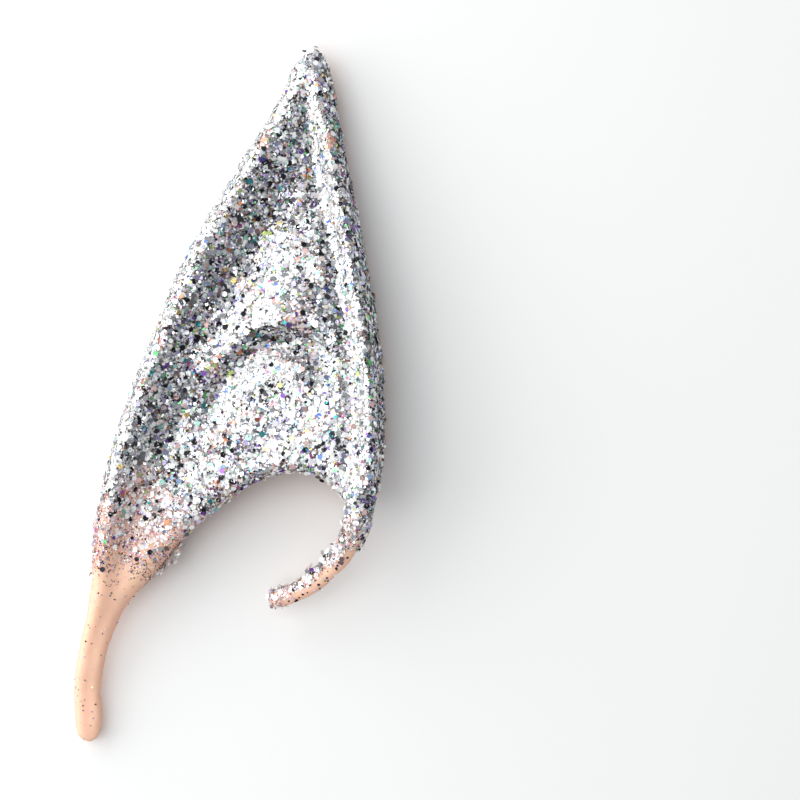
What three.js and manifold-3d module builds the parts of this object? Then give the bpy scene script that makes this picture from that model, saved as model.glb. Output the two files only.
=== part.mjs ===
// A slip-on elf ear tip, cast in one piece of soft latex. A pointed hollow shell slips over the top of the
// wearer's ear. A tail runs down behind the ear to the lobe, and a thin hook curls in above the ear canal.
// Millimetres, +Z up. It lies on its back with its face up and its tip towards +Y, and the origin is on the
// table under the middle of its outline.
import * as THREE from "three";
import Module from "manifold-3d";

const wasm = await Module();
wasm.setup();
const { lerp, smoothstep, clamp } = THREE.MathUtils;

// Overall size, before the ends are rounded.
const EAR_LENGTH = 120;
const EAR_WIDTH = 53.6;
const EAR_DEPTH = 17;
const WALL = 1.5;

// Rounded edges of the shell: how far in each one reaches, and what share of a thin place it may take.
const OUTER_EDGE = 2.4;
const FRONT_EDGE = 2.4;
const LIP_EDGE = 2.4;
const BACK_EDGE = 3;
const EDGE_SHARE = 0.3;
const SLANT_LIMIT = 0.5;
const SIDE_ROUND = 0.56;
const BACK_ROUND = 0.3;
const TAIL_END_RADIUS = 2.3;
const TIP_END_RADIUS = 3.6;

// Relief of the face: the two rims, the furrow beside the front rim, and the fold with the hollow under it.
// The outer rim's slope takes at most a share of a narrow section: EDGE_SHARE above the cut-out, and so
// much towards the tip that it is most of the dish.
const OUTER_RIM_CREST_SHARE = 0.8;
const OUTER_RIM_SLOPE = 8.5;
const OUTER_SLOPE_SHARE = 0.46;
const FRONT_RIM_CREST = 0.4;
const FRONT_RIM_SLOPE = 2.4;
const FRONT_RIM_RISE = 0.8;
const FURROW_DEPTH = 0.9;
const FURROW_WIDTH = 1.5;
const SWELL_SHARE = 0.45;
const SWELL_REACH = 8;
const SWELL_NARROW = 21; // width of a section from which its middle swells, and where it swells fully
const SWELL_BROAD = 33;
const SHALLOW_DISH = 0.05; // dish from which a section has its relief, and where it has all of it
const DEEP_DISH = 0.2;
const FOLD_HEIGHT = 1.5;
const FOLD_WIDTH = 3;
const FOLD_UPPER_WIDTH = 3.2;
const FOLD_POWER = 3;
const HOLLOW_DEPTH = 2.4;
const HOLLOW_REACH = 4.2;

// The pocket inside: where it starts and ends among the sections, and how far its mouth reaches outside.
const POCKET_START = 4.2;
const POCKET_FULL = 7.5;
const POCKET_END = 21.1;
const POCKET_END_LENGTH = 1.4;
const MOUTH_REACH = 3;
const BELOW = 3;
const POCKET_GAP = 0.5;
const MOUTH_STEP = 0.3;
const MOUTH_CLOSING = 0.9; // the mouth's share from which the back wall closes up to the front rim

// Sections from the tail's end to the tip. Each is a curved rib across the ear, from its outer edge to its
// inner edge, which is the cut-out over the ear canal and then the front rim. Places are shares of the
// ear's width and length from the lower left corner, and heights are shares of its depth.
//   front: height of the rims        back: height of the back       dish: how deep the face is hollowed
//   cutout: 1 where the inner edge is the cut-out, 0 where it is the front rim
//   mouth: share of the rib that the back wall covers      rings: how many rings up to the next row
const SECTIONS = [
  { outer: [0.01, 0.0], via: [0.05, 0.0], inner: [0.09, 0.0], front: 0.22, back: 0.08, dish: 0.02, cutout: 1, mouth: 0, rings: 0 },
  { outer: [0.0, 0.043], via: [0.045, 0.043], inner: [0.09, 0.043], front: 0.26, back: 0.1, dish: 0.03, cutout: 1, mouth: 0, rings: 2 },
  { outer: [0.0, 0.086], via: [0.045, 0.086], inner: [0.09, 0.086], front: 0.31, back: 0.13, dish: 0.035, cutout: 1, mouth: 0, rings: 2 },
  { outer: [0.016, 0.134], via: [0.064, 0.136], inner: [0.112, 0.137], front: 0.38, back: 0.17, dish: 0.04, cutout: 1, mouth: 0, rings: 2 },
  { outer: [0.042, 0.182], via: [0.105, 0.186], inner: [0.158, 0.186], front: 0.46, back: 0.2, dish: 0.05, cutout: 1, mouth: 0, rings: 2 },
  { outer: [0.058, 0.222], via: [0.15, 0.235], inner: [0.222, 0.224], front: 0.56, back: 0.19, dish: 0.07, cutout: 1, mouth: 0.05, rings: 2 },
  { outer: [0.068, 0.265], via: [0.22, 0.3], inner: [0.302, 0.264], front: 0.66, back: 0.13, dish: 0.1, cutout: 1, mouth: 0.14, rings: 2 },
  { outer: [0.077, 0.308], via: [0.28, 0.35], inner: [0.386, 0.308], front: 0.75, back: 0.05, dish: 0.14, cutout: 1, mouth: 0.25, rings: 2 },
  { outer: [0.093, 0.351], via: [0.36, 0.402], inner: [0.466, 0.338], front: 0.83, back: 0, dish: 0.18, cutout: 1, mouth: 0.36, rings: 3 },
  { outer: [0.113, 0.395], via: [0.46, 0.452], inner: [0.556, 0.367], front: 0.89, back: 0, dish: 0.2, cutout: 1, mouth: 0.46, rings: 3 },
  { outer: [0.141, 0.44], via: [0.57, 0.495], inner: [0.643, 0.385], front: 0.93, back: 0, dish: 0.22, cutout: 1, mouth: 0.54, rings: 3 },
  { outer: [0.174, 0.483], via: [0.7, 0.538], inner: [0.733, 0.39], front: 0.96, back: 0, dish: 0.23, cutout: 1, mouth: 0.6, rings: 3 },
  { outer: [0.206, 0.524], via: [0.8, 0.567], inner: [0.813, 0.382], front: 0.98, back: 0, dish: 0.23, cutout: 1, mouth: 0.66, rings: 3 },
  { outer: [0.241, 0.564], via: [0.85, 0.59], inner: [0.871, 0.352], front: 1, back: 0, dish: 0.23, cutout: 0.9, mouth: 0.72, rings: 3 },
  { outer: [0.277, 0.603], via: [0.882, 0.6], inner: [0.926, 0.34], front: 1, back: 0, dish: 0.23, cutout: 0.4, mouth: 0.8, rings: 3 },
  { outer: [0.305, 0.636], via: [0.882, 0.61], inner: [0.98, 0.364], front: 1, back: 0, dish: 0.23, cutout: 0, mouth: 0.92, rings: 3 },
  { outer: [0.334, 0.667], via: [0.85, 0.63], inner: [1.0, 0.423], front: 0.98, back: 0, dish: 0.23, cutout: 0, mouth: 1, rings: 3 },
  { outer: [0.373, 0.704], via: [0.8, 0.66], inner: [1.0, 0.495], front: 0.96, back: 0, dish: 0.23, cutout: 0, mouth: 1, rings: 3 },
  { outer: [0.424, 0.746], via: [0.76, 0.7], inner: [0.984, 0.588], front: 0.91, back: 0, dish: 0.22, cutout: 0, mouth: 1, rings: 3 },
  { outer: [0.495, 0.799], via: [0.745, 0.753], inner: [0.952, 0.674], front: 0.83, back: 0, dish: 0.2, cutout: 0, mouth: 1, rings: 2 },
  { outer: [0.572, 0.857], via: [0.755, 0.822], inner: [0.913, 0.77], front: 0.71, back: 0.01, dish: 0.17, cutout: 0, mouth: 1, rings: 2 },
  { outer: [0.653, 0.917], via: [0.765, 0.895], inner: [0.868, 0.868], front: 0.58, back: 0.04, dish: 0.13, cutout: 0, mouth: 1, rings: 2 },
  { outer: [0.69, 0.952], via: [0.763, 0.952], inner: [0.836, 0.952], front: 0.47, back: 0.09, dish: 0.08, cutout: 0, mouth: 1, rings: 1 },
  { outer: [0.741, 1.0], via: [0.777, 1.0], inner: [0.813, 1.0], front: 0.41, back: 0.13, dish: 0.03, cutout: 0, mouth: 1, rings: 0 },
];
const LEVELS = ["front", "back", "dish", "cutout", "mouth"];
const LAST = SECTIONS.length - 1;
const RIM_FOOT = 14.6; // where the inner edge turns from the cut-out to the front rim, in sections

// The fold's crest across the face, from beside the front rim over its arch to the outer side, with how
// strong it is at each place.
const FOLD = [
  { at: [0.905, 0.514], strength: 0 },
  { at: [0.888, 0.554], strength: 0.4 },
  { at: [0.85, 0.586], strength: 0.9 },
  { at: [0.785, 0.606], strength: 1 },
  { at: [0.695, 0.614], strength: 1 },
  { at: [0.588, 0.601], strength: 1 },
  { at: [0.495, 0.569], strength: 0.9 },
  { at: [0.431, 0.532], strength: 0.7 },
  { at: [0.386, 0.489], strength: 0.4 },
  { at: [0.35, 0.444], strength: 0 },
];

// The hook's middle line from inside the front rim's foot to its free end. Its height is a share of the
// ear's depth, and its width and thickness are shares of their largest.
const HOOK = [
  { at: [0.945, 0.425], height: 0.74, width: 0.5, thick: 0.5 },
  { at: [0.94, 0.395], height: 0.83, width: 0.78, thick: 0.8 },
  { at: [0.933, 0.365], height: 0.86, width: 0.86, thick: 0.94 },
  { at: [0.923, 0.335], height: 0.81, width: 0.68, thick: 0.82 },
  { at: [0.906, 0.305], height: 0.73, width: 0.57, thick: 0.72 },
  { at: [0.87, 0.275], height: 0.63, width: 0.52, thick: 0.64 },
  { at: [0.806, 0.246], height: 0.52, width: 0.49, thick: 0.6 },
  { at: [0.73, 0.222], height: 0.42, width: 0.5, thick: 0.6 },
  { at: [0.631, 0.207], height: 0.34, width: 0.53, thick: 0.6 },
];
const HOOK_WIDTH = 6.6;
const HOOK_THICKNESS = 4.6;
const HOOK_END_RADIUS = 1.7;

// How finely each form is divided: where the rings of a round end lie, and points round a ring.
const END_STEPS = [0, 0.02, 0.1, 0.3, 0.6];
const EDGE_STEPS = 5;
const OUTER_RIM_STEPS = 5;
const MIDDLE_STEPS = 20;
const POCKET_MIDDLE_STEPS = 11;
const INNER_RIM_STEPS = 6;
const OUTER_RIM_SHARES = [0.1, 0.5]; // shares of the face between which the outer rim's foot stays
const INNER_RIM_SHARE = 0.8; // share of the face from which its points lie closer, for the inner edge
const BACK_STEPS = 6;
const BACK_EDGE_STEPS = 3;
const POCKET_END_STEPS = [1, 0.6, 0.3, 0.1, 0];
const POCKET_EDGE_STEPS = 3;
const POCKET_FLOOR_STEPS = 2;
const HOOK_RINGS = 18;
const HOOK_END_STEPS = [0.06, 0.035, 0.015, 0.004, 0];
const HOOK_SIDES = 12;
const OUTER_LINE_POINTS = 70;
const FRONT_LINE_POINTS = 40;
const FOLD_LINE_POINTS = 48;
const CAP_SHARE = 0.12; // how much of a ring is left where a round end closes

const LATEX = new THREE.MeshStandardMaterial({ color: 0xe9b79c, roughness: 0.5, metalness: 0 });

const steps = (from, to, count) => Array.from({ length: count + 1 }, (_, i) => lerp(from, to, i / count));
const placed = ([across, along], height = 0) =>
  new THREE.Vector3(across * EAR_WIDTH, along * EAR_LENGTH, height * EAR_DEPTH);
const curveThrough = (points) => new THREE.CatmullRomCurve3(points);

const outerEdge = curveThrough(SECTIONS.map((row) => placed(row.outer)));
const viaLine = curveThrough(SECTIONS.map((row) => placed(row.via)));
const innerEdge = curveThrough(SECTIONS.map((row) => placed(row.inner)));
const levelTable = new THREE.CubicInterpolant(
  SECTIONS.map((row, i) => i),
  SECTIONS.flatMap((row) => LEVELS.map((name) => row[name])),
  LEVELS.length,
);

// Points of a curve between two sections, as a line to measure distances to.
function lineBetween(curve, from, to, count) {
  return steps(from, to, count).map((s) => curve.getPoint(s / LAST));
}

const outerLine = lineBetween(outerEdge, 0, LAST, OUTER_LINE_POINTS);
const frontRimLine = lineBetween(innerEdge, RIM_FOOT, LAST, FRONT_LINE_POINTS);
const foldLine = curveThrough(FOLD.map((row) => placed(row.at))).getPoints(FOLD_LINE_POINTS);

// The nearest place on a line, in plan: its distance, whether the point lies left of it, and its share of
// the line's length.
function nearest(line, point) {
  let best = { distance: Infinity };
  for (let i = 0; i + 1 < line.length; i++) {
    const [a, b] = [line[i], line[i + 1]];
    const [dx, dy] = [b.x - a.x, b.y - a.y];
    const [px, py] = [point.x - a.x, point.y - a.y];
    const along = clamp((px * dx + py * dy) / (dx * dx + dy * dy), 0, 1);
    const distance = Math.hypot(px - along * dx, py - along * dy);
    if (distance < best.distance) {
      best = { distance, left: dx * py > dy * px, share: (i + along) / (line.length - 1) };
    }
  }
  return best;
}

// How fast a rib leaves an edge, square to it, for each share of the rib.
function speedAcross(edge, share, end, via) {
  const along = edge.getTangent(share);
  const rib = via.clone().sub(end);
  return Math.max(2 * Math.abs(along.x * rib.y - along.y * rib.x), rib.length() * SLANT_LIMIT);
}

// One section: its edges, its heights in mm, and how far in from its edges its rims reach.
function sectionAt(s) {
  const share = s / LAST;
  const values = levelTable.evaluate(s);
  const level = Object.fromEntries(LEVELS.map((name, i) => [name, values[i]]));
  const [outer, via, inner] = [outerEdge, viaLine, innerEdge].map((curve) => curve.getPoint(share));
  const width = outer.distanceTo(inner);
  const widest = EDGE_SHARE * width;
  const cutout = clamp(level.cutout, 0, 1);
  const outerRadius = Math.min(OUTER_EDGE, widest);
  const innerRadius = Math.min(lerp(FRONT_EDGE, LIP_EDGE, cutout), widest);
  const crest = innerRadius + Math.min(FRONT_RIM_CREST, EDGE_SHARE * innerRadius);
  const slopeShare = lerp(OUTER_SLOPE_SHARE, EDGE_SHARE, cutout);
  const section = {
    outer,
    via,
    inner,
    width,
    cutout,
    outerRadius,
    innerRadius,
    crest,
    outerCrest: OUTER_RIM_CREST_SHARE * outerRadius,
    outerFoot: outerRadius + Math.min(OUTER_RIM_SLOPE, slopeShare * width),
    frontFoot: crest + Math.min(FRONT_RIM_SLOPE, innerRadius),
    outerSpeed: speedAcross(outerEdge, share, outer, via),
    innerSpeed: speedAcross(innerEdge, share, inner, via),
    front: level.front * EAR_DEPTH,
    back: Math.max(level.back, 0) * EAR_DEPTH,
    dish: level.dish * EAR_DEPTH,
    mouth: level.mouth,
  };
  section.tall = section.front - section.back;
  return section;
}

// A place on a section's rib: a curve from the outer edge to the inner edge that bends towards via.
function ribPoint({ outer, via, inner }, t) {
  const [a, b, c] = [(1 - t) ** 2, 2 * t * (1 - t), t ** 2];
  return new THREE.Vector3(
    a * outer.x + b * via.x + c * inner.x,
    a * outer.y + b * via.y + c * inner.y,
    0,
  );
}

// Shares along the rib that lie this far in from its outer and inner edges. A length below zero is outside.
const fromOuter = (section, length) => length / section.outerSpeed;
const fromInner = (section, length) => 1 - length / section.innerSpeed;

// Shares along the rib for the face's points, between a first and a last. They run along the outer rim.
function faceShares(section, first, last, middleSteps) {
  const [lowest, highest] = OUTER_RIM_SHARES.map((share) => lerp(first, last, share));
  const low = clamp(fromOuter(section, section.outerFoot), lowest, highest);
  const high = lerp(first, last, INNER_RIM_SHARE);
  return [
    ...steps(first, low, OUTER_RIM_STEPS).slice(1),
    ...steps(low, high, middleSteps).slice(1),
    ...steps(high, last, INNER_RIM_STEPS).slice(1, -1),
  ];
}

// The fold across the face and the hollow under it, as a height to add.
function foldHeight(point) {
  const { distance, left: under, share } = nearest(foldLine, point);
  const row = share * (FOLD.length - 1);
  const [before, after] = [FOLD[Math.floor(row)], FOLD[Math.ceil(row)]];
  const strength = lerp(before.strength, after.strength, row % 1);
  const crest = under
    ? FOLD_HEIGHT * Math.exp(-((distance / FOLD_WIDTH) ** FOLD_POWER))
    : FOLD_HEIGHT * Math.exp(-((distance / FOLD_UPPER_WIDTH) ** 2));
  const reach = (distance / HOLLOW_REACH) ** FOLD_POWER;
  const hollow = under ? HOLLOW_DEPTH * reach * Math.exp(1 - reach) : 0;
  return strength * (crest - hollow);
}

// Height of the ear's face at a place, before its edges are rounded.
function faceHeight(section, point) {
  const outerGap = nearest(outerLine, point).distance;
  const frontGap = nearest(frontRimLine, point).distance;
  const { crest, outerCrest, outerFoot, frontFoot, width } = section;
  const inFromOuter = smoothstep(outerGap, outerCrest, outerFoot);
  const inFromFront = smoothstep(frontGap, crest, frontFoot);
  const broad = smoothstep(width, SWELL_NARROW, SWELL_BROAD);
  const swell = SWELL_SHARE * broad * smoothstep(outerGap, outerFoot, outerFoot + SWELL_REACH);
  const furrow = FURROW_DEPTH * Math.exp(-(((frontGap - frontFoot) / FURROW_WIDTH) ** 2));
  const sunk = section.dish * inFromOuter * inFromFront * (1 - swell);
  const strength = smoothstep(section.dish / EAR_DEPTH, SHALLOW_DISH, DEEP_DISH);
  const rise = FRONT_RIM_RISE * (1 - smoothstep(frontGap, 0, 2 * frontFoot));
  return section.front - sunk + strength * (rise - furrow * inFromOuter + foldHeight(point) * inFromFront);
}

// A quarter round: angles from the side of the shell to its flat, with the two shares that they give.
function quarter(steps) {
  return Array.from({ length: steps + 1 }, (_, i) => {
    const angle = (i / steps) * (Math.PI / 2);
    return { inward: 1 - Math.cos(angle), upward: Math.sin(angle) };
  });
}

// The outer skin's ring at a section: over the face from the outer edge to the inner, and back under it.
function skinRing(s) {
  const section = sectionAt(s);
  const { front, back, tall, outerRadius, innerRadius, cutout } = section;
  const outerDrop = SIDE_ROUND * tall;
  const innerDrop = Math.min(lerp(SIDE_ROUND * tall, LIP_EDGE, cutout), SIDE_ROUND * tall);
  const backRise = BACK_ROUND * tall;
  const backRadius = Math.min(BACK_EDGE, EDGE_SHARE * section.width);
  const ring = [];
  const over = (t, drop) => {
    const point = ribPoint(section, t);
    ring.push(point.setZ(faceHeight(section, point) - drop));
  };
  const under = (t, rise) => ring.push(ribPoint(section, t).setZ(back + rise));
  const frontQuarter = quarter(EDGE_STEPS);
  const backQuarter = quarter(BACK_EDGE_STEPS);
  const [start, end] = [fromOuter(section, outerRadius), fromInner(section, innerRadius)];

  frontQuarter.forEach(({ inward, upward }) =>
    over(fromOuter(section, outerRadius * inward), outerDrop * (1 - upward)),
  );
  faceShares(section, start, end, MIDDLE_STEPS).forEach((t) => over(t, 0));
  [...frontQuarter].reverse().forEach(({ inward, upward }) =>
    over(fromInner(section, innerRadius * inward), innerDrop * (1 - upward)),
  );
  backQuarter.forEach(({ inward, upward }) =>
    under(fromInner(section, backRadius * inward), backRise * (1 - upward)),
  );
  const [backStart, backEnd] = [fromOuter(section, backRadius), fromInner(section, backRadius)];
  for (let i = 1; i < BACK_STEPS; i++) under(lerp(backEnd, backStart, i / BACK_STEPS), 0);
  [...backQuarter].reverse().forEach(({ inward, upward }) =>
    under(fromOuter(section, backRadius * inward), backRise * (1 - upward)),
  );
  return shrunk(ring, endShare(section), (front + back) / 2);
}

// How full a round end is, at a distance from where it closes.
function fullness(distance, radius) {
  return Math.sqrt(1 - (1 - Math.min(distance / radius, 1)) ** 2);
}

// How full a section is near the tail's end and the tip, which are round.
function endShare(section) {
  const middle = section.outer.clone().lerp(section.inner, 0.5);
  const [tail, tip] = [SECTIONS[0], SECTIONS[LAST]].map(({ outer, inner }) =>
    placed(outer).lerp(placed(inner), 0.5),
  );
  return Math.min(
    fullness(middle.distanceTo(tail), TAIL_END_RADIUS),
    fullness(middle.distanceTo(tip), TIP_END_RADIUS),
  );
}

// A ring drawn in towards its own middle.
function shrunk(ring, share, height) {
  const middle = ring.reduce((sum, p) => sum.add(p), new THREE.Vector3()).divideScalar(ring.length);
  middle.setZ(height);
  return ring.map((p) => middle.clone().lerp(p, Math.max(share, CAP_SHARE)));
}

// The pocket's ring at a section: the room under the face and over the back wall. Along the cut-out it runs
// out past the edge, where it is the mouth, and the lip's turned-down edge hangs into it. Where there is no
// back wall it runs out through the back.
function pocketRing(s) {
  const section = sectionAt(s);
  const { back, tall, outerRadius, innerRadius, cutout } = section;
  const depth = smoothstep(s, POCKET_START, POCKET_FULL);
  const below = back - BELOW;
  const lip = Math.max(LIP_EDGE - WALL, 0);
  const sideDrop = SIDE_ROUND * Math.max(tall - 2 * WALL, 0);
  const outerRound = Math.max(outerRadius, WALL);
  const innerRound = lerp(Math.max(innerRadius, WALL), lip, cutout);
  const innerDrop = lerp(sideDrop, lip, cutout);
  const [start, end] = [fromOuter(section, WALL), fromInner(section, lerp(WALL, -MOUTH_REACH, cutout))];
  const [faceStart, faceEnd] = [fromOuter(section, WALL + outerRound), fromInner(section, WALL + innerRound)];
  const step = fromOuter(section, MOUTH_STEP);
  const wallEnd = clamp(Math.min(section.mouth, MOUTH_CLOSING), start + 2 * step, end - step);
  const closed = smoothstep(section.mouth, MOUTH_CLOSING, 1);
  const ring = [];

  const ceilingHeight = (point, drop) => {
    const top = faceHeight(section, point) - WALL - drop;
    return Math.max(lerp(below, top, depth), below);
  };
  const ceiling = (t, drop) => {
    const point = ribPoint(section, t);
    ring.push(point.setZ(ceilingHeight(point, drop)));
  };
  const floor = (t, covered) => {
    const point = ribPoint(section, t);
    const overWall = Math.min(back + WALL, ceilingHeight(point, sideDrop) - 2 * POCKET_GAP);
    ring.push(point.setZ(lerp(below - 2 * POCKET_GAP, overWall, covered)));
  };
  const corner = quarter(POCKET_EDGE_STEPS);

  corner.forEach(({ inward, upward }) =>
    ceiling(fromOuter(section, WALL + outerRound * inward), sideDrop * (1 - upward)),
  );
  faceShares(section, faceStart, faceEnd, POCKET_MIDDLE_STEPS).forEach((t) => ceiling(t, 0));
  [...corner].reverse().forEach(({ inward, upward }) =>
    ceiling(fromInner(section, WALL + innerRound * inward), innerDrop * (1 - upward)),
  );
  ceiling(end, innerDrop + POCKET_GAP);
  steps(end, wallEnd, POCKET_FLOOR_STEPS).forEach((t) => floor(t, closed));
  steps(wallEnd - step, start, POCKET_FLOOR_STEPS).forEach((t) => floor(t, 1));
  const share = fullness(POCKET_END - s, POCKET_END_LENGTH);
  return shrunk(ring, share, (section.front + back) / 2);
}

// The hook's ring at a share of its length: an ellipse across its middle line, round at its free end.
const hookLine = curveThrough(HOOK.map((row) => placed(row.at, row.height)));
const hookTable = new THREE.LinearInterpolant(
  HOOK.map((row, i) => i / (HOOK.length - 1)),
  HOOK.flatMap((row) => [row.width * HOOK_WIDTH, row.thick * HOOK_THICKNESS]),
  2,
);
function hookRing(share) {
  const [width, thickness] = hookTable.evaluate(share);
  const middle = hookLine.getPoint(share);
  const along = hookLine.getTangent(share);
  const across = new THREE.Vector3(0, 0, 1).cross(along).normalize();
  const up = along.clone().cross(across);
  const fromEnd = middle.distanceTo(hookLine.getPoint(1));
  const full = Math.max(fullness(fromEnd, HOOK_END_RADIUS), CAP_SHARE);
  return Array.from({ length: HOOK_SIDES }, (_, i) => {
    const angle = (i / HOOK_SIDES) * 2 * Math.PI;
    return middle
      .clone()
      .addScaledVector(across, (full * Math.cos(angle) * width) / 2)
      .addScaledVector(up, (full * Math.sin(angle) * thickness) / 2);
  });
}

// A closed solid through rings that have the same number of points, with a flat cap on each end.
function loft(rings) {
  const sides = rings[0].length;
  const points = rings.flat();
  const triangles = [];
  for (let row = 0; row + 1 < rings.length; row++) {
    for (let i = 0; i < sides; i++) {
      const [a, b] = [row * sides + i, row * sides + ((i + 1) % sides)];
      const [c, d] = [a + sides, b + sides];
      const shorter = points[a].distanceTo(points[d]) < points[b].distanceTo(points[c]);
      if (shorter) triangles.push([a, b, d], [a, d, c]);
      else triangles.push([a, b, c], [b, d, c]);
    }
  }
  const cap = (ring, first, turned) => {
    const middle = ring.reduce((sum, p) => sum.add(p), new THREE.Vector3()).divideScalar(sides);
    const centre = points.push(middle) - 1;
    for (let i = 0; i < sides; i++) {
      const [a, b] = [first + i, first + ((i + 1) % sides)];
      triangles.push(turned ? [centre, a, b] : [centre, b, a]);
    }
  };
  cap(rings[0], 0, false);
  cap(rings.at(-1), (rings.length - 1) * sides, true);
  return new wasm.Manifold(
    new wasm.Mesh({
      numProp: 3,
      vertProperties: new Float32Array(points.flatMap((p) => p.toArray())),
      triVerts: new Uint32Array(triangles.flat()),
    }),
  );
}

// A solid as the geometry of a mesh.
function toGeometry(solid) {
  const { vertProperties, triVerts } = solid.getMesh();
  const geometry = new THREE.BufferGeometry();
  geometry.setAttribute("position", new THREE.BufferAttribute(vertProperties, 3));
  geometry.setIndex(new THREE.BufferAttribute(triVerts, 1));
  return geometry;
}

// Where the rings lie among the sections. The pocket has the skin's rings as far as it reaches.
const innerRings = SECTIONS.flatMap(({ rings }, row) => steps(row, row + 1, rings || 1).slice(0, rings));
const skinSteps = [...END_STEPS, ...innerRings, ...[...END_STEPS].reverse().map((step) => LAST - step)];
const pocketFull = POCKET_END - POCKET_END_LENGTH;
const pocketSteps = [
  POCKET_START,
  ...innerRings.filter((s) => s > POCKET_START && s < pocketFull),
  ...POCKET_END_STEPS.map((share) => POCKET_END - share * POCKET_END_LENGTH),
];

const skin = loft(skinSteps.map(skinRing));
const pocket = loft(pocketSteps.map(pocketRing));
const hookSteps = [...steps(0, 1 - HOOK_END_STEPS[0], HOOK_RINGS), ...HOOK_END_STEPS.slice(1).map((s) => 1 - s)];
const hook = loft(hookSteps.map(hookRing));
const shell = skin.subtract(pocket).add(hook);

const earShell = new THREE.Mesh(toGeometry(shell), LATEX);
earShell.name = "ear_shell";
earShell.position.set(-EAR_WIDTH / 2, -EAR_LENGTH / 2, 0);

const group = new THREE.Group();
group.add(earShell);

export default group;
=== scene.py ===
"""Looks of the elf ear tip: soft latex under a coat of mixed hexagonal glitter, lying on a pale table."""

import math

import bpy
import numpy as np
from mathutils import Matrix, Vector
from mathutils.bvhtree import BVHTree


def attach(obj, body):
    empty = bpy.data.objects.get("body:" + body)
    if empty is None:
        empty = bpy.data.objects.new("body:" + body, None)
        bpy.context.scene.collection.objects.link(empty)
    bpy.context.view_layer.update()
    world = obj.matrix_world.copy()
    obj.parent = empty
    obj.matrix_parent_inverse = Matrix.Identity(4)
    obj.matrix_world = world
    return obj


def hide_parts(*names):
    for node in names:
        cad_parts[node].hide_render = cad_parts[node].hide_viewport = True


MM = 0.001
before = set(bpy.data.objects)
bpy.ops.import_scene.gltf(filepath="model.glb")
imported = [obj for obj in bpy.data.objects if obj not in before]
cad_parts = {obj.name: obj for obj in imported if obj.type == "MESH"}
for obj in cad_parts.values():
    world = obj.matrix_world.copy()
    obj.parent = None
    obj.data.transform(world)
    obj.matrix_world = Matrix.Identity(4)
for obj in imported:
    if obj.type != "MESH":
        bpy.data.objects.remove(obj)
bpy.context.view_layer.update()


# Helpers

def smooth_share(value, low, high):
    """0 below low, 1 above high, and a soft step between them."""
    t = np.clip((value - low) / (high - low), 0.0, 1.0)
    return t * t * (3.0 - 2.0 * t)


def unit(vectors):
    return vectors / np.maximum(np.linalg.norm(vectors, axis=-1, keepdims=True), 1e-12)


def ripple(points, wavelength, seed, waves=28):
    """A smooth random field over points, about -2 to 2, whose hills are about a wavelength apart."""
    rng = np.random.default_rng(seed)
    directions = unit(rng.normal(size=(waves, 3)))
    phases = rng.uniform(0, 2 * math.pi, waves)
    turns = points @ directions.T * (2 * math.pi / wavelength) + phases
    return np.cos(turns).sum(axis=1) / math.sqrt(waves / 2)


def read(mesh):
    """Places and normals of a mesh's vertices, and its triangles."""
    places = np.empty(len(mesh.vertices) * 3)
    mesh.vertices.foreach_get("co", places)
    normals = np.empty(len(mesh.vertices) * 3)
    mesh.vertices.foreach_get("normal", normals)
    mesh.calc_loop_triangles()
    corners = np.empty(len(mesh.loop_triangles) * 3, np.int64)
    mesh.loop_triangles.foreach_get("vertices", corners)
    return places.reshape(-1, 3), normals.reshape(-1, 3), corners.reshape(-1, 3)


# Materials

def new_material(name):
    material = bpy.data.materials.new(name)
    material.use_nodes = True
    nodes, links = material.node_tree.nodes, material.node_tree.links
    return material, nodes, links, nodes["Principled BSDF"]


def node(nodes, kind, **inputs):
    made = nodes.new(kind)
    for name, value in inputs.items():
        made.inputs[name.replace("_", " ")].default_value = value
    return made


def feed(links, socket, value):
    """Links a socket to another one, or sets its number or colour."""
    if hasattr(value, "is_output"):
        links.new(value, socket)
    else:
        socket.default_value = value


def attribute(nodes, name):
    made = nodes.new("ShaderNodeAttribute")
    made.attribute_name = name
    return made.outputs["Fac"]


def maths(nodes, links, operation, *values):
    made = nodes.new("ShaderNodeMath")
    made.operation = operation
    for socket, value in zip(made.inputs, values):
        feed(links, socket, value)
    return made.outputs[0]


def mixed(nodes, links, share, first, second):
    """A colour between first and second, each a colour or a socket."""
    made = nodes.new("ShaderNodeMix")
    made.data_type = "RGBA"
    # The mixer's share is its socket 0, and its colours are 6 and 7.
    for place, value in ((0, share), (6, first), (7, second)):
        feed(links, made.inputs[place], value)
    return made.outputs[2]


def ramp(nodes, links, share, stops):
    """Steps of colour, each from its place on."""
    made = nodes.new("ShaderNodeValToRGB")
    made.color_ramp.interpolation = "CONSTANT"
    points = made.color_ramp.elements
    while len(points) > 1:
        points.remove(points[-1])
    points[0].position, points[0].color = stops[0][0], (*stops[0][1], 1)
    for place, colour in stops[1:]:
        points.new(place).color = (*colour, 1)
    links.new(share, made.inputs[0])
    return made.outputs[0]


LATEX_PALE = (0.99, 0.66, 0.47, 1)
# The deep tone is painted shade for the latex's flanks.
LATEX_FLANK_SHADE = (0.97, 0.52, 0.36, 1)
LATEX_BLUSH = (0.98, 0.56, 0.41, 1)
# The glued tone is the glue's redder tint with painted shade between the flakes.
LATEX_GLUE_AND_SHADE = (0.86, 0.41, 0.32, 1)
GRAIN_TILT = 1.1

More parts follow.
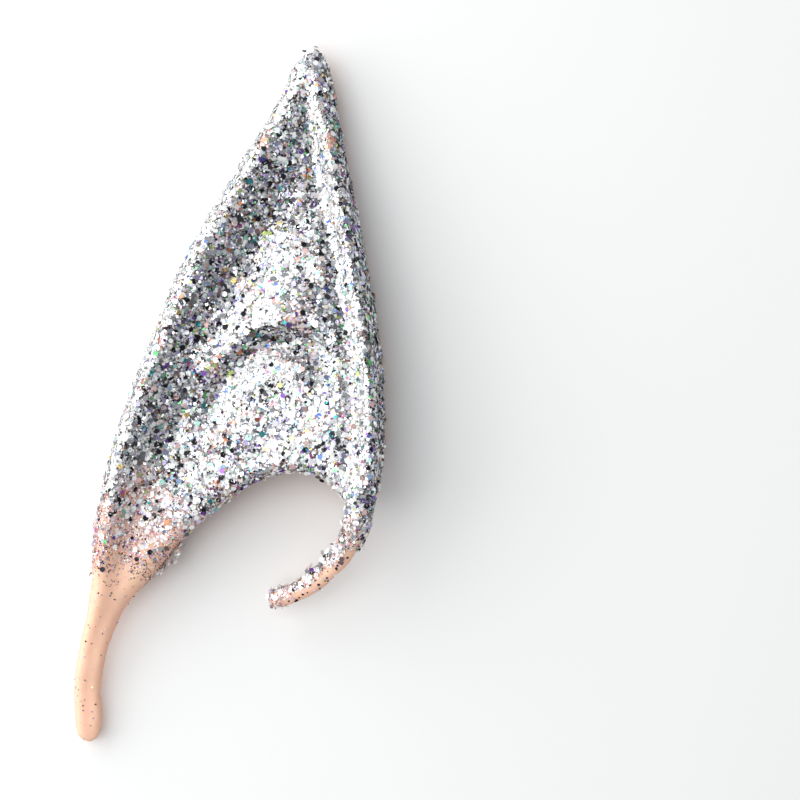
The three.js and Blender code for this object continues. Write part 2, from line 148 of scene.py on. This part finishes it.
# name, colour, share of the flakes, roughness, metal
FLAKE_KINDS = [
    ("silver", (0.92, 0.93, 0.93), 0.29, 0.24, 1.0),
    ("white", (0.90, 0.91, 0.90), 0.15, 0.42, 0.1),
    ("steel", (0.64, 0.65, 0.68), 0.13, 0.26, 1.0),
    ("pearl_mint", (0.80, 0.91, 0.86), 0.045, 0.34, 0.45),
    ("pearl_lilac", (0.85, 0.80, 0.93), 0.045, 0.34, 0.45),
    ("pearl_peach", (0.94, 0.83, 0.77), 0.04, 0.34, 0.45),
    ("pewter", (0.32, 0.33, 0.35), 0.085, 0.26, 1.0),
    ("graphite", (0.08, 0.08, 0.09), 0.055, 0.30, 0.9),
    ("black", (0.012, 0.011, 0.015), 0.04, 0.38, 0.2),
    ("lavender", (0.56, 0.50, 0.78), 0.03, 0.22, 1.0),
    ("violet", (0.26, 0.12, 0.50), 0.012, 0.25, 1.0),
    ("mint", (0.42, 0.74, 0.64), 0.02, 0.22, 1.0),
    ("sky", (0.42, 0.58, 0.82), 0.02, 0.22, 1.0),
    ("teal", (0.05, 0.38, 0.42), 0.007, 0.25, 1.0),
    ("blue", (0.10, 0.18, 0.55), 0.006, 0.25, 1.0),
    ("green", (0.20, 0.62, 0.25), 0.009, 0.25, 1.0),
    ("lime", (0.62, 0.74, 0.28), 0.009, 0.25, 1.0),
    ("gold", (0.80, 0.60, 0.22), 0.008, 0.25, 1.0),
    ("copper", (0.62, 0.24, 0.12), 0.009, 0.28, 1.0),
    ("magenta", (0.62, 0.16, 0.40), 0.005, 0.25, 1.0),
    ("taupe", (0.26, 0.18, 0.17), 0.022, 0.32, 0.8),
    ("rose", (0.92, 0.62, 0.60), 0.026, 0.32, 0.5),
]


def flake_material(name, colour, roughness, metal):
    """Faintly crinkled film of one colour: a mirror, a pearl or nearly plain, after its metal."""
    material, nodes, links, shader = new_material("film_" + name)
    shader.inputs["Base Color"].default_value = (*colour, 1)
    shader.inputs["Metallic"].default_value = metal
    shader.inputs["Roughness"].default_value = roughness
    shader.inputs["Specular IOR Level"].default_value = 0.5 if metal > 0.4 else 0.15
    crinkle = node(nodes, "ShaderNodeTexNoise", Scale=2400.0, Detail=2.0)
    bump = node(nodes, "ShaderNodeBump", Strength=0.25, Distance=0.00006)
    links.new(crinkle.outputs["Fac"], bump.inputs["Height"])
    links.new(bump.outputs[0], shader.inputs["Normal"])
    return material


def latex_material():
    """Peach latex with blotches and a fine skin, a darker tone on its flanks and glued places that is partly
    painted shade, and a dust of glitter where its coat is thick, whose dark grains are painted shade in the
    gaps between the flakes.
    """
    material, nodes, links, shader = new_material("latex_with_powder_and_gap_shade")
    where = nodes.new("ShaderNodeTexCoord").outputs["Object"]

    blotch = node(nodes, "ShaderNodeTexNoise", Scale=110.0, Detail=4.0, Roughness=0.6)
    links.new(where, blotch.inputs["Vector"])
    skin = mixed(nodes, links, blotch.outputs["Fac"], LATEX_PALE, LATEX_BLUSH)
    # Latex that faces sideways is mixed towards the deep tone: painted shade on the flanks.
    skin = mixed(nodes, links, attribute(nodes, "flank_shade"), skin, LATEX_FLANK_SHADE)
    # Near the fade the latex is darker and redder: partly the glue's tint, partly painted shade between the
    # flakes.
    skin = mixed(nodes, links, attribute(nodes, "glue_and_shade"), skin, LATEX_GLUE_AND_SHADE)

    dust_and_gap_shade = attribute(nodes, "dust_and_gap_shade")
    cells = node(nodes, "ShaderNodeTexVoronoi", Scale=2600.0)
    links.new(where, cells.inputs["Vector"])
    parts = nodes.new("ShaderNodeSeparateColor")
    links.new(cells.outputs["Color"], parts.inputs[0])
    there = maths(nodes, links, "LESS_THAN", parts.outputs[0], dust_and_gap_shade)
    # Deep in a thick coat the dust is dark, painted shade for the gaps between the flakes, and where the
    # coat thins out it is pale.
    pale = maths(nodes, links, "MULTIPLY", maths(nodes, links, "SUBTRACT", 1.0, dust_and_gap_shade), 0.34)
    shade = maths(nodes, links, "ADD", maths(nodes, links, "MULTIPLY", parts.outputs[1], 0.68), pale)
    colour = ramp(nodes, links, shade, [
        (0.0, (0.012, 0.012, 0.014)),
        (0.18, (0.07, 0.07, 0.08)),
        (0.36, (0.22, 0.22, 0.24)),
        (0.50, (0.60, 0.61, 0.62)),
        (0.62, (0.90, 0.88, 0.88)),
        (0.74, (0.86, 0.62, 0.58)),
        (0.82, (0.62, 0.50, 0.80)),
        (0.86, (0.90, 0.88, 0.86)),
        (0.93, (0.55, 0.74, 0.40)),
        (0.96, (0.60, 0.26, 0.14)),
    ])
    links.new(mixed(nodes, links, there, skin, colour), shader.inputs["Base Color"])
    links.new(maths(nodes, links, "MULTIPLY", there, 0.95), shader.inputs["Metallic"])

    soft = node(nodes, "ShaderNodeTexNoise", Scale=900.0, Detail=3.0)
    links.new(where, soft.inputs["Vector"])
    rough = maths(nodes, links, "MULTIPLY_ADD", soft.outputs["Fac"], 0.2, 0.36)
    rough = maths(nodes, links, "SUBTRACT", rough, maths(nodes, links, "MULTIPLY", there, 0.2))
    links.new(rough, shader.inputs["Roughness"])
    shader.inputs["Specular IOR Level"].default_value = 0.42
    shader.inputs["Subsurface Weight"].default_value = 0.35
    shader.inputs["Subsurface Radius"].default_value = (1.0, 0.42, 0.26)
    shader.inputs["Subsurface Scale"].default_value = 0.0018

    bump = node(nodes, "ShaderNodeBump", Strength=0.35, Distance=0.00008)
    links.new(soft.outputs["Fac"], bump.inputs["Height"])
    # Each grain of the dust faces its own way.
    tilt = nodes.new("ShaderNodeVectorMath")
    tilt.operation = "MULTIPLY_ADD"
    tilt.inputs[1].default_value = (GRAIN_TILT, GRAIN_TILT, GRAIN_TILT)
    tilt.inputs[2].default_value = (-GRAIN_TILT / 2, -GRAIN_TILT / 2, -GRAIN_TILT / 2)
    links.new(cells.outputs["Color"], tilt.inputs[0])
    scaled = nodes.new("ShaderNodeVectorMath")
    scaled.operation = "SCALE"
    links.new(tilt.outputs[0], scaled.inputs[0])
    links.new(there, scaled.inputs["Scale"])
    added = nodes.new("ShaderNodeVectorMath")
    links.new(bump.outputs[0], added.inputs[0])
    links.new(scaled.outputs[0], added.inputs[1])
    even = nodes.new("ShaderNodeVectorMath")
    even.operation = "NORMALIZE"
    links.new(added.outputs[0], even.inputs[0])
    links.new(even.outputs[0], shader.inputs["Normal"])
    return material


# The latex

VOXEL = 0.45 * MM
SMOOTHING_ROUNDS = 10
# Height and length of the latex's unevenness, in mm, and its seed: soft waves, and fine ones on them.
WAVES = (0.07, 6, 11)
FINE_WAVES = (0.012, 1.7, 12)


def wave(places, height, length, seed):
    return height * ripple(places, length * MM, seed)


def latex_shell():
    """The frame's ear, remeshed evenly and softened, because latex has no facets."""
    source = bpy.data.objects.new("latex_shell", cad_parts["ear_shell"].data.copy())
    bpy.context.scene.collection.objects.link(source)
    even = source.modifiers.new("even", "REMESH")
    even.mode = "VOXEL"
    even.voxel_size = VOXEL
    soft = source.modifiers.new("soft", "SMOOTH")
    soft.factor = 0.5
    soft.iterations = SMOOTHING_ROUNDS
    graph = bpy.context.evaluated_depsgraph_get()
    mesh = bpy.data.meshes.new_from_object(source.evaluated_get(graph))
    source.modifiers.clear()
    mesh.name = "latex_shell"
    source.data = mesh
    places, normals, _ = read(mesh)
    uneven = wave(places, *WAVES) + wave(places, *FINE_WAVES)
    # What lies on the table stays flat.
    uneven *= smooth_share(places[:, 2], 0.1 * MM, 1.5 * MM)
    places += normals * uneven[:, None] * MM
    mesh.vertices.foreach_set("co", places.ravel())
    mesh.update()
    for polygon in mesh.polygons:
        polygon.use_smooth = True
    return source


shell = latex_shell()
shell_places, shell_normals, shell_triangles = read(shell.data)


# Where the glitter lies

# The fade: downwards the coat thins out about this y, in mm, which leans a little about this x.
FADE_END = -22.5
FADE_LEAN = 0.3
FADE_MIDDLE = -15.0

# Where the hook, its end and the bare strip on it begin and are fully there, in mm.
HOOK_RIGHT_OF = (-1.0, 4.0)
HOOK_BELOW = (17.0, 22.0)
HOOK_END_BELOW = (30.5, 33.0)
STRIP_BELOW = (23.0, 27.0)
STRIP_RIGHT_OF = (8.0, 10.5)

# The hook is coated like a place this far above the fade, in mm.
HOOK_ABOVE = 6.0

# From none to all of the coat, in mm above the fade, and what lies loose below: its share and its fall.
COAT_RISE = (-6.0, 14.5)
LOOSE_SHARE = 0.16
LOOSE_FALL = 4.5

# The share of the coat that is missing at the hook's end, on its strip, under the cut-out's edge, where it
# is worn, and the share of the dark dust that is missing on the left-facing slopes, as painted light.
HOOK_END_MISSING = 0.45
STRIP_MISSING = 0.95
EDGE_MISSING = 0.3
WORN_MISSING = 0.35
LIT_SLOPE_DUST_MISSING = 0.5

# Thin places in the coat: x, y and radius in mm, and the share that is missing.
THIN_SPOTS = [
    (5.9, 44.2, 1.7, 0.92),
    (17.7, 44.0, 1.6, 0.9),
    (11.3, 13.0, 2.4, 0.6),
    (24.9, 15.5, 1.1, 0.8),
    (-14.5, -14.0, 2.6, 0.35),
]

# Rays to the sky go straight up and lean to the four sides. They start this far off the latex and have this
# length, in mm.
SKY = ((0, 0, 1), (0.9, 0, 1), (-0.9, 0, 1), (0, 0.9, 1), (0, -0.9, 1))
RAY_START = 0.35
RAY_LENGTH = 100


def open_to_above():
    """For each vertex, the share of the sky that it sees: glitter falls only there."""
    tree = BVHTree.FromPolygons(
        [Vector(p) for p in shell_places], [tuple(int(i) for i in t) for t in shell_triangles]
    )
    rays = [Vector(direction).normalized() for direction in SKY]
    free = np.zeros(len(shell_places))
    for i, (place, normal) in enumerate(zip(shell_places, shell_normals)):
        start = Vector(place + normal * RAY_START * MM)
        free[i] = sum(tree.ray_cast(start, ray, RAY_LENGTH * MM)[0] is None for ray in rays)
    return free / len(rays)


def flank_shading():
    """From 0 to 1, how far each vertex leans to the side: there the latex is painted a darker peach, as
    painted shade on the tail's flanks.
    """
    return smooth_share(-shell_normals[:, 2], -0.9, -0.2)


def on_hook(x, y):
    """From 0 to 1, whether a place is on the thin hook."""
    return smooth_share(x, *HOOK_RIGHT_OF) * smooth_share(-y, *HOOK_BELOW)


def lit_slope(normals):
    """From 0 to 1, how far a slope faces the left, towards the lamps: there the coat gets paler flakes and
    less dark dust, as painted light.
    """
    return smooth_share(-0.85 * normals[:, 0] + 0.35 * normals[:, 1], -0.38, 0.5)


def coverage():
    """For each vertex, from 0 to 1: the coat, its dust with the painted shade of its dark grains, the finest
    flakes, the glue with its painted shade, and the specks.
    """
    x, y, z = (shell_places / MM).T
    facing_up = shell_normals[:, 2]
    wander = 1.5 * ripple(shell_places, 14 * MM, 21) + 0.9 * ripple(shell_places, 5 * MM, 22)
    above = y - FADE_END + FADE_LEAN * (x - FADE_MIDDLE) + wander
    hook = on_hook(x, y)
    above = above * (1 - hook) + HOOK_ABOVE * hook
    loose = LOOSE_SHARE * np.exp(np.minimum(above, 0) / LOOSE_FALL)
    cover = np.maximum(smooth_share(above, *COAT_RISE), loose)
    # Towards its end the hook has only a thin, fine coat.
    hook_end = hook * smooth_share(-y, *HOOK_END_BELOW)
    cover *= 1 - HOOK_END_MISSING * hook_end
    # The hook is bare low on its outer side, up to its glittered end.
    outward = shell_normals[:, 0] * 0.62 - shell_normals[:, 1] * 0.78
    strip = smooth_share(-y, *STRIP_BELOW) * smooth_share(x, *STRIP_RIGHT_OF)
    bare = smooth_share(outward + 0.10 * wander, -0.1, 0.4) * strip
    cover *= 1 - STRIP_MISSING * bare
    # Under the cut-out's edge the coat is thin.
    under = smooth_share(outward, 0.35, 0.8)
    under = under * smooth_share(6.0 - x, 0.0, 6.0) * smooth_share(-y, 11.0, 14.0)
    cover *= 1 - EDGE_MISSING * under
    # On the rims there are worn places, where the latex shows through.
    worn = smooth_share(ripple(shell_places, 9 * MM, 23), 0.9, 2.0)
    cover *= 1 - WORN_MISSING * worn * smooth_share(z, 9.0, 12.0)
    for spot_x, spot_y, radius, thinness in THIN_SPOTS:
        near = np.exp(-((x - spot_x) ** 2 + (y - spot_y) ** 2) / radius**2)
        cover *= 1 - thinness * near * smooth_share(facing_up, 0.25, 0.6)
    reached = smooth_share(seen, 0.05, 0.5) * smooth_share(facing_up, -0.75, -0.1)
    cover *= reached
    # The finest flakes show where the coat thins out, and a few lie everywhere.
    band = 0.88 * smooth_share(above, -10.0, -0.5) + 0.12 * smooth_share(above, -19.0, -6.0)
    band = band * (1 - 0.8 * smooth_share(above, 9.0, 18.0)) + 0.025
    band = np.maximum(band, 0.8 * hook_end)
    band *= reached * (1 - bare)
    # A row of specks runs along the strip.
    specks = strip * smooth_share(outward, 0.28, 0.42) * smooth_share(0.72 - outward, 0.0, 0.15)
    # The dust lies where the coat is thick, and its dark grains there are painted shade for the gaps between
    # the flakes.
    dust_and_gap_shade = 0.86 * smooth_share(cover, 0.45, 1.0) + 0.12 * cover
    # Less of the dark dust lies on the left-facing slopes, as painted light.
    dust_and_gap_shade = dust_and_gap_shade * (1 - LIT_SLOPE_DUST_MISSING * lit_slope(shell_normals) ** 2)
    # The glue's tint, darkened also as painted shade between the flakes.
    glue_and_shade = 0.85 * smooth_share(above, -9.0, 3.0) * reached * (1 - bare)
    return [np.clip(values, 0, 1) for values in (cover, dust_and_gap_shade, band, glue_and_shade, specks)]


seen = open_to_above()
cover, dust_and_gap_shade, fade, glue_and_shade, specks = coverage()
for title, values in (("dust_and_gap_shade", dust_and_gap_shade), ("flank_shade", flank_shading()), ("glue_and_shade", glue_and_shade)):
    layer = shell.data.attributes.new(title, "FLOAT", "POINT")
    layer.data.foreach_set("value", values.astype(np.float32))


# The coat has its own thickness, so the latex lies that much further in under it. The hook is plumper.
COAT = 0.42 * MM
HOOK_PLUMPNESS = 0.15 * MM
hook = on_hook(*(shell_places[:, :2] / MM).T)
shell_places -= shell_normals * (COAT * cover * (1 - hook) - HOOK_PLUMPNESS * hook)[:, None]
shell.data.vertices.foreach_set("co", shell_places.ravel())
shell.data.update()
shell_places, shell_normals, shell_triangles = read(shell.data)


# Flakes

# How much more often than its share a kind lies in each mix: the coat's slopes to the right, with dark kinds
# as painted shade, and to the left, with white ones as painted light, the coat where it is thin, the powder
# below it and on the tail, and the pieces with a mix of their own.
SHADED_SLOPE_MIX = dict.fromkeys(
    ("pewter", "graphite", "black", "violet", "teal", "green", "copper", "magenta", "taupe", "lavender"), 2.2
)
LIT_SLOPE_MIX = dict.fromkeys(SHADED_SLOPE_MIX, 0.16) | {"white": 2.6, "silver": 0.8, "steel": 0.5, "pearl_lilac": 1.5}
THIN_MIX = {
    "white": 3.0, "silver": 0.7, "steel": 0.2, "pewter": 0.2, "graphite": 0.4, "black": 0.9,
    "pearl_peach": 5.0, "pearl_lilac": 3.0, "pearl_mint": 0.5, "rose": 5.0, "taupe": 1.5,
    "copper": 2.0, "gold": 2.0, "lime": 1.5, "teal": 0.4, "blue": 0.4,
}
POWDER_MIX = {
    "silver": 0.6, "white": 3.4, "steel": 0.25, "pewter": 0.3, "graphite": 0.4, "black": 1.5,
    "pearl_lilac": 3.5, "pearl_peach": 5.0, "pearl_mint": 0.4, "rose": 7.0, "copper": 3.0, "gold": 4.0,
    "lime": 3.0, "green": 2.0, "violet": 2.0, "magenta": 5.0, "taupe": 1.5, "lavender": 2.5,
}
TAIL_MIX = {
    "silver": 0.15, "white": 0.6, "steel": 0.0, "pewter": 0.1, "pearl_mint": 0.3, "graphite": 0.6,
    "black": 7.0, "pearl_lilac": 3.0, "rose": 3.0, "copper": 10.0, "gold": 14.0, "lime": 6.0,
    "violet": 6.0, "magenta": 14.0, "taupe": 5.0, "lavender": 6.0,
}
SPECK_MIX = {
    "silver": 0.0, "white": 0.0, "steel": 0.0, "pewter": 0.0, "pearl_mint": 0.0, "pearl_lilac": 0.3,
    "pearl_peach": 0.0, "rose": 0.0, "black": 12.0, "violet": 18.0, "magenta": 8.0, "taupe": 3.0,
}
GLINT_MIX = {
    "silver": 0.05, "white": 0.1, "steel": 0.0, "pewter": 0.0, "graphite": 0.3, "pearl_mint": 1.5,
    "pearl_lilac": 1.5, "violet": 2.2, "lavender": 2.5, "teal": 1.6, "green": 1.8, "copper": 1.6,
}
STRAY_MIX = {"black": 9.0, "taupe": 3.0, "lavender": 2.0, "pewter": 0.3, "graphite": 1.0, "silver": 0.5}
DOT_MIX = {
    "black": 13.0, "taupe": 8.0, "lavender": 2.5, "violet": 4.0, "sky": 2.0, "mint": 2.0, "silver": 0.25,
}

# Loose clumps at the coat's edges: x, y and radius in mm, and how many flakes.
CLUMPS = [
    (14.0, 59.3, 1.3, 14),
    (15.2, 58.6, 1.2, 8),
    (-9.3, -27.4, 1.6, 22),
    (-7.9, -26.0, 1.3, 12),
    (-11.5, -29.4, 1.2, 8),
    (-22.4, -21.8, 0.9, 5),
    (19.4, -25.2, 1.3, 12),
    (17.6, -27.6, 1.2, 9),
    (24.8, -26.6, 0.9, 4),
    (14.9, -30.2, 1.0, 9),
    (26.6, 2.8, 0.9, 4),
]

# Some flakes lie askew: their share, how many times as far they lean, and the most in radians.
ODD_SHARE = 0.12
ODD_LEAN = 2.6
MOST_LEAN = 1.1

# Small flakes are chips of no clean shape: how far their corners stray, in radians and in radii.
RAGGED_TURN = 0.22
RAGGED_REACH = 0.16

materials = [flake_material(name, colour, rough, metal) for name, colour, _, rough, metal in FLAKE_KINDS]


def place_flakes(count, weight, rng):
    """count points on the shell, with the normal and the coat's share at each."""
    first, second, third = (shell_places[shell_triangles[:, corner]] for corner in range(3))
    areas = np.linalg.norm(np.cross(second - first, third - first), axis=1) / 2
    chances = areas * weight[shell_triangles].mean(axis=1)
    chosen = rng.choice(len(chances), size=count, p=chances / chances.sum())
    mix = rng.dirichlet((1, 1, 1), size=count)
    places = (shell_places[shell_triangles[chosen]] * mix[:, :, None]).sum(axis=1)
    normals = unit((shell_normals[shell_triangles[chosen]] * mix[:, :, None]).sum(axis=1))
    return places, normals, cover[shell_triangles[chosen]].mean(axis=1)


def scattered(count, weight):
    """Lays count flakes over the shell, more of them where the weight is larger."""
    return lambda rng: place_flakes(count, weight, rng)


def clump_places(rng):
    """Places for flakes that stand in loose clumps: near each clump's middle, on the coat."""
    x, y, _ = (shell_places / MM).T
    open_side = (shell_normals[:, 2] > -0.1) & (seen > 0.3)
    chosen = []
    for clump_x, clump_y, radius, count in CLUMPS:
        away = np.where(open_side, (x - clump_x) ** 2 + (y - clump_y) ** 2, np.inf)
        # The middle moves to the nearest open place on the shell.
        middle = shell_places[np.argmin(away)]
        near = np.linalg.norm(shell_places - middle, axis=1) < radius * MM
        chosen.append(rng.choice(np.flatnonzero(near & open_side), size=count))
    chosen = np.concatenate(chosen)
    return shell_places[chosen], shell_normals[chosen], cover[chosen]


def shares_of(mix):
    shares = np.array([kind[2] * mix.get(kind[0], 1.0) for kind in FLAKE_KINDS])
    return shares / shares.sum()


def coat_mix(normals, coat):
    """Each kind's chance in the coat: darker kinds to the right as painted shade, paler ones to the left as
    painted light, and pinker where it is thin.
    """
    pale = lit_slope(normals)[:, None]
    thin = smooth_share(1 - coat, 0.15, 0.6)[:, None]
    chances = pale * shares_of(LIT_SLOPE_MIX) + (1 - pale) * shares_of(SHADED_SLOPE_MIX)
    return (1 - thin) * chances + thin * shares_of(THIN_MIX)


def powder_mix(normals, coat):
    """Each kind's chance in the powder, which is more colourful on the tail, where almost no coat is."""
    tail = smooth_share(1 - coat, 0.85, 0.97)[:, None]
    return (1 - tail) * shares_of(POWDER_MIX) + tail * shares_of(TAIL_MIX)


def one_mix(mix):
    """The same chances everywhere."""
    return lambda normals, coat: np.tile(shares_of(mix), (len(normals), 1))


def flake_piece(name, seed, places, mix, width, spread, tilt, lift, sides=6):
    """One piece of many closed flakes: a plate with sides corners and a low point under it.

    The width is in mm, with its spread as a share, the tilt in degrees, and the lift off the latex is
    between two heights in mm.
    """
    rng = np.random.default_rng(seed)
    centres, normals, coat = places(rng)
    count = len(centres)
    side = unit(np.cross(normals, unit(rng.normal(size=(count, 3)))))
    lean = rng.normal(size=count) * math.radians(tilt)
    lean = lean * np.where(rng.random(count) < ODD_SHARE, ODD_LEAN, 1.0)
    lean = np.clip(lean, -MOST_LEAN, MOST_LEAN)
    up = unit(normals * np.cos(lean)[:, None] + side * np.sin(lean)[:, None])
    across = unit(np.cross(up, unit(rng.normal(size=(count, 3)))))
    along = np.cross(up, across)
    radius = width * MM / 2 * np.clip(1 + spread * rng.normal(size=count), 0.6, 1.5)
    height = rng.uniform(*lift, size=count) * MM
    # A leaning flake rests on its lower edge.
    height = height + 0.55 * radius * np.abs(np.sin(lean))
    middle = centres + normals * height[:, None]
    angles = np.arange(sides) * 2 * math.pi / sides + np.zeros((count, 1))
    reach = np.ones((count, sides))
    if sides < 6:
        angles += rng.normal(size=(count, sides)) * RAGGED_TURN
        reach += rng.normal(size=(count, sides)) * RAGGED_REACH
    spokes = across[:, None] * np.cos(angles)[:, :, None] + along[:, None] * np.sin(angles)[:, :, None]
    rim = middle[:, None] + spokes * (radius[:, None] * reach)[:, :, None]
    foot = middle - up * (0.16 * radius + 0.04 * MM)[:, None]
    points = np.concatenate([rim, foot[:, None]], axis=1).reshape(-1, 3)

    first = np.arange(count)[:, None] * (sides + 1)
    loops = np.empty((count, sides * 4), np.int64)
    loops[:, :sides] = first + np.arange(sides)
    for k in range(sides):
        loops[:, sides + 3 * k] = first[:, 0] + (k + 1) % sides
        loops[:, sides + 1 + 3 * k] = first[:, 0] + k
        loops[:, sides + 2 + 3 * k] = first[:, 0] + sides
    sizes = np.tile([sides] + [3] * sides, count)
    starts = np.concatenate([[0], np.cumsum(sizes)[:-1]])

    mesh = bpy.data.meshes.new(name)
    mesh.vertices.add(len(points))
    mesh.vertices.foreach_set("co", points.ravel())
    mesh.loops.add(loops.size)
    mesh.loops.foreach_set("vertex_index", loops.ravel())
    mesh.polygons.add(len(sizes))
    mesh.polygons.foreach_set("loop_start", starts)
    steps = np.cumsum(mix(normals, coat), axis=1)[:, :-1]
    kinds = (rng.random((count, 1)) > steps).sum(axis=1)
    mesh.polygons.foreach_set("material_index", np.repeat(kinds, sides + 1))
    mesh.update(calc_edges=True)
    mesh.validate()
    mesh.shade_flat()
    for material in materials:
        mesh.materials.append(material)
    piece = bpy.data.objects.new(name, mesh)
    bpy.context.scene.collection.objects.link(piece)
    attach(piece, "root")


# Dots and coloured glints are rarer on the rims' left-facing slopes: partly where they lie, partly painted
# light that keeps those lit slopes pale.
off_lit_side = 1 - 0.75 * lit_slope(shell_normals)

low_chips = scattered(32500, cover**1.15)
high_chips = scattered(27000, cover**1.3)
flake_piece("glitter_powder", 30, scattered(25000, fade), powder_mix, 0.29, 0.18, 18, (-0.01, 0.09), 4)
flake_piece("glitter_chips_low", 31, low_chips, coat_mix, 0.50, 0.16, 18, (0.0, 0.20), 4)
flake_piece("glitter_medium", 33, scattered(12000, cover**1.4), coat_mix, 0.70, 0.14, 14, (0.08, 0.34))
flake_piece("glitter_coarse", 34, scattered(4400, cover**1.6), coat_mix, 1.02, 0.06, 10, (0.18, 0.44))
flake_piece("glitter_chips_high", 32, high_chips, coat_mix, 0.44, 0.20, 19, (0.12, 0.44), 4)

dots = scattered(360, cover**0.7 * off_lit_side)
glints = scattered(1500, cover**0.8 * off_lit_side)
flake_piece("glitter_dots", 37, dots, one_mix(DOT_MIX), 0.98, 0.06, 8, (0.36, 0.46))
flake_piece("glitter_glints", 38, glints, one_mix(GLINT_MIX), 0.55, 0.2, 14, (0.34, 0.46))
flake_piece("glitter_specks", 39, scattered(34, specks), one_mix(SPECK_MIX), 0.50, 0.2, 6, (0.03, 0.10))
flake_piece("glitter_stray", 35, scattered(110, fade**1.5), one_mix(STRAY_MIX), 1.0, 0.08, 8, (0.05, 0.12))
flake_piece("glitter_clumps", 36, clump_places, coat_mix, 0.85, 0.25, 38, (0.25, 0.95))

shell.data.materials.clear()
shell.data.materials.append(latex_material())
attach(shell, "root")
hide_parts("ear_shell")


# Floor, light and camera

# The table top's tones and its reach from the middle in metres, and the room's even light.
TABLE_TONES = ((0.81, 0.82, 0.81, 1), (0.85, 0.85, 0.84, 1))
TABLE_REACH = 2
SKY_COLOUR = (0.93, 0.96, 1.0, 1)
SKY_POWER = 0.36

# The photograph looks straight down over its middle, which is this place on the table.
EYE = (29.7 * MM, -0.6 * MM, 0.5)
LENS = 129.0


def floor():
    material, nodes, links, shader = new_material("table_top")
    cloud = node(nodes, "ShaderNodeTexNoise", Scale=6.0, Detail=3.0)
    tone = mixed(nodes, links, cloud.outputs["Fac"], *TABLE_TONES)
    links.new(tone, shader.inputs["Base Color"])
    shader.inputs["Roughness"].default_value = 0.65
    mesh = bpy.data.meshes.new("table_top")
    corners = [(TABLE_REACH * x, TABLE_REACH * y, 0) for x, y in ((-1, -1), (1, -1), (1, 1), (-1, 1))]
    mesh.from_pydata(corners, [], [(0, 1, 2, 3)])
    made = bpy.data.objects.new("table_top", mesh)
    made.data.materials.append(material)
    bpy.context.scene.collection.objects.link(made)


def softbox(name, place, width, height, power):
    """A lamp that faces the middle of the table."""
    lamp = bpy.data.lights.new(name, "AREA")
    lamp.shape = "RECTANGLE"
    lamp.size, lamp.size_y = width, height
    lamp.energy = power
    made = bpy.data.objects.new(name, lamp)
    made.location = place
    made.rotation_euler = (Vector((0, 0, 0)) - Vector(place)).to_track_quat("-Z", "Y").to_euler()
    bpy.context.scene.collection.objects.link(made)


floor()
softbox("overhead_box", (-0.30, 0.04, 1.0), 0.8, 0.8, 6.4)
softbox("left_box", (-0.50, 0.24, 0.32), 1.1, 0.5, 4.9)

world = bpy.data.worlds.new("studio")
bpy.context.scene.world = world
world.use_nodes = True
world.node_tree.nodes["Background"].inputs["Color"].default_value = SKY_COLOUR
world.node_tree.nodes["Background"].inputs["Strength"].default_value = SKY_POWER
bpy.context.scene.view_settings.view_transform = "Standard"

camera = bpy.data.cameras.new("camera")
camera.lens = LENS
camera.sensor_width = 36.0
eye = bpy.data.objects.new("camera", camera)
eye.location = EYE
bpy.context.scene.collection.objects.link(eye)
bpy.context.scene.camera = eye
